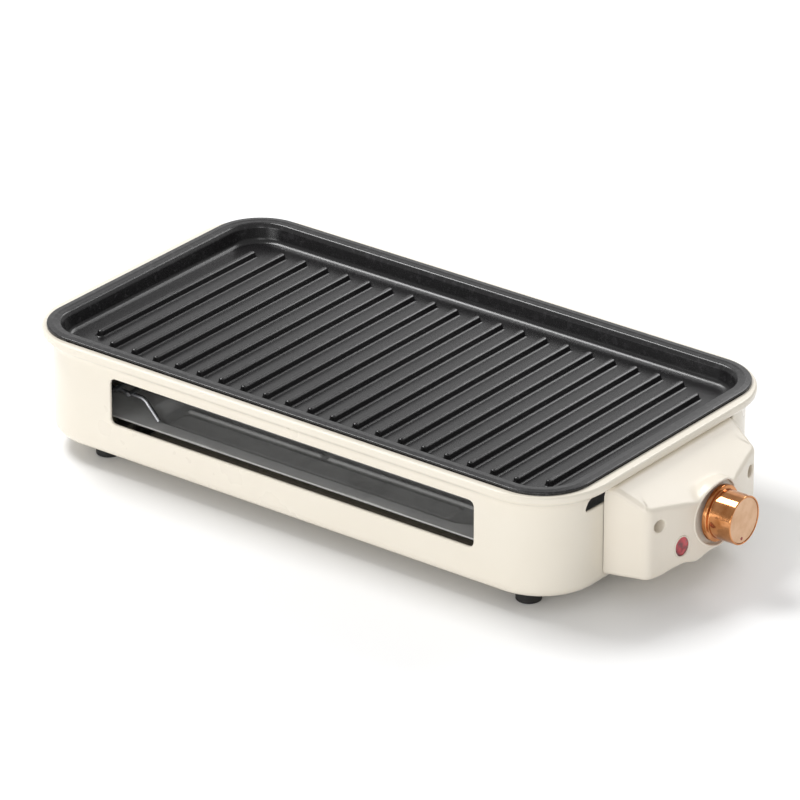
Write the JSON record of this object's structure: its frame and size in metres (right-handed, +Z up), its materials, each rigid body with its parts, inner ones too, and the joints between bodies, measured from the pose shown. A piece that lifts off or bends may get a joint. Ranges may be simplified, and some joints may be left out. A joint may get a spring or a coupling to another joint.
{
  "type": "electric griddle",
  "caption": "Tabletop electric griddle: ribbed lift-off pan on a drawn steel body with a front window, reflector and tubular element, and an end housing with thermostat knob and lamp.",
  "frame": {"origin": "centre of the overall box, on the surface that the feet stand on", "axes": "+X along the body towards the control housing and knob, -Y towards the front window, +Z up"},
  "size_m": [0.491, 0.245, 0.088],
  "materials": {
    "cream_paint": "satin cream enamel",
    "cream_plastic": "fine satin",
    "non_stick": "dark non-stick coating on cast aluminium",
    "polished_steel": "bright rolled sheet",
    "satin_steel": "satin",
    "sheath_steel": "oxidised sheath",
    "copper_plate": "polished rose-gold plate",
    "copper_satin": "satin rose-gold plate",
    "red_enamel": "filled mark",
    "red_lens": "deep red translucent",
    "black_rubber": "matte",
    "black_plastic": "moulded",
    "white_ceramic": "steatite",
    "brass": "turned",
    "silicone_lead": "silicone insulated lead"
  },
  "bodies": {
    "base": {"outer_shell": "cream_paint", "reflector_tray": "polished_steel", "reflector_stand_left": "satin_steel", "reflector_stand_right": "satin_steel", "heating_element": "sheath_steel", "element_plate": "satin_steel", "element_trestle": "satin_steel", "element_bush_front": "white_ceramic", "element_bush_back": "white_ceramic", "element_pin_front": "satin_steel", "element_pin_back": "satin_steel", "housing_screw_front": "satin_steel", "housing_screw_back": "satin_steel", "control_housing": "cream_plastic", "housing_back_plate": "satin_steel", "cord_gland": "black_plastic", "thermostat_body": "white_ceramic", "thermostat_nut": "brass", "lamp_body": "black_plastic", "lamp_bezel": "cream_plastic", "lamp_lens": "red_lens", "terminal_block": "black_plastic", "lead_element_to_block": "silicone_lead", "lead_element_to_thermostat": "silicone_lead", "lead_block_to_thermostat": "silicone_lead", "lead_lamp": "silicone_lead", "foot_front_left": "black_rubber", "foot_front_right": "black_rubber", "foot_back_left": "black_rubber", "foot_back_right": "black_rubber", "foot_screw_front_left": "satin_steel", "foot_screw_front_right": "satin_steel", "foot_screw_back_left": "satin_steel", "foot_screw_back_right": "satin_steel"},
    "griddle": {"griddle_pan": "non_stick"},
    "knob": {"knob_body": "copper_plate", "knob_cap": "copper_satin", "knob_index": "red_enamel", "thermostat_shaft": "brass"}
  },
  "joints": [
    {"name": "griddle_lift", "type": "slide", "parent": "base", "child": "griddle", "axis": [0, 0, 1], "range_m": [0, 0.12]},
    {"name": "knob_turn", "type": "hinge", "parent": "base", "child": "knob", "pos_m": [0.2355, 0, 0.0478], "axis": [-1, 0, 0], "range_deg": [0, 270]}
  ]
}
